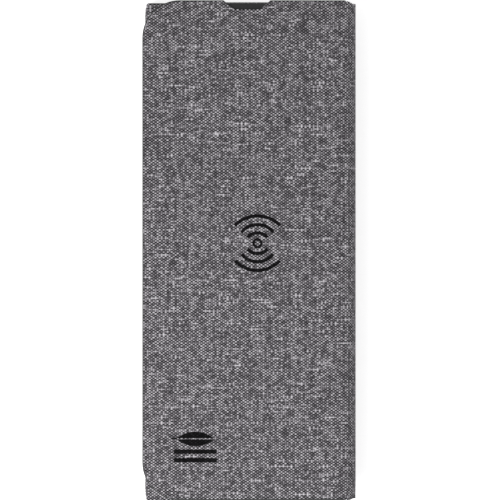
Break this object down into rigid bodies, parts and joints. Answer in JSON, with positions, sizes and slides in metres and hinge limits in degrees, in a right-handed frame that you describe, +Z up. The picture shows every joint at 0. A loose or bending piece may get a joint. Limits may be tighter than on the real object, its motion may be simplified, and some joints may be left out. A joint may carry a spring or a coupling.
{
  "type": "folding desk mat with wireless charger",
  "caption": "Fabric-covered desk mat that folds in three by a soft spine and an inner fold, with a wireless charger and its socket built into the top panel.",
  "frame": {"origin": "on the table, under the middle of the folded mat", "axes": "+Z up out of the charging face, +Y towards the charger's socket, +X towards the spine"},
  "size_m": [0.0856, 0.2008, 0.0186],
  "materials": {
    "grey_fabric": "woven polyester melange, matt",
    "grey_board": "pressed grey board",
    "dark_foam": "closed-cell foam",
    "black_plastic": "fine satin",
    "socket_steel": "plated sheet",
    "magnet_nickel": "nickel plated",
    "ferrite": "sintered, matt",
    "copper": "enamelled wire",
    "circuit_board": "solder mask",
    "chip_black": "moulded epoxy",
    "capacitor_tan": "fired ceramic"
  },
  "bodies": {
    "base_panel": {"base_front_fabric": "grey_fabric", "base_back_fabric": "grey_fabric", "base_board": "grey_board", "base_magnet_1": "magnet_nickel", "base_magnet_2": "magnet_nickel", "inner_fold_roll": "grey_fabric"},
    "middle_panel": {"middle_front_fabric": "grey_fabric", "middle_back_fabric": "grey_fabric", "middle_board": "grey_board", "middle_base_magnet_1": "magnet_nickel", "middle_base_magnet_2": "magnet_nickel", "middle_flap_magnet_1": "magnet_nickel", "middle_flap_magnet_2": "magnet_nickel"},
    "spine": {"spine_outer_fabric": "grey_fabric", "spine_foam": "dark_foam", "spine_lining": "grey_fabric"},
    "charging_flap": {"flap_front_fabric": "grey_fabric", "flap_back_fabric": "grey_fabric", "flap_board": "grey_board", "flap_magnet_1": "magnet_nickel", "flap_magnet_2": "magnet_nickel", "charger_upper_shell": "black_plastic", "charger_lower_shell": "black_plastic", "socket_shell": "socket_steel", "socket_tongue": "chip_black", "circuit_board": "circuit_board", "controller_chip": "chip_black", "bridge_chip": "chip_black", "power_inductor": "ferrite", "resonant_capacitor_1": "capacitor_tan", "resonant_capacitor_2": "capacitor_tan", "resonant_capacitor_3": "capacitor_tan", "resonant_capacitor_4": "capacitor_tan", "coil_foam_pad": "dark_foam", "ferrite_shield": "ferrite", "charging_coil": "copper", "coil_outer_lead": "copper", "coil_inner_lead": "copper"}
  },
  "joints": [
    {"name": "inner_fold", "type": "hinge", "parent": "base_panel", "child": "middle_panel", "pos_m": [-0.0415, 0, 0.00615], "axis": [0, -1, 0], "range_deg": [0, 180]},
    {"name": "spine_fold", "type": "hinge", "parent": "middle_panel", "child": "spine", "pos_m": [0.0394, 0, 0.0063], "axis": [0, 1, 0], "range_deg": [0, 90]},
    {"name": "flap_fold", "type": "hinge", "parent": "spine", "child": "charging_flap", "pos_m": [0.0394, 0, 0.0186], "axis": [0, 1, 0], "range_deg": [0, 90]}
  ],
  "couplings": [
    {"joint": "flap_fold", "follows": "spine_fold", "ratio": 1}
  ]
}
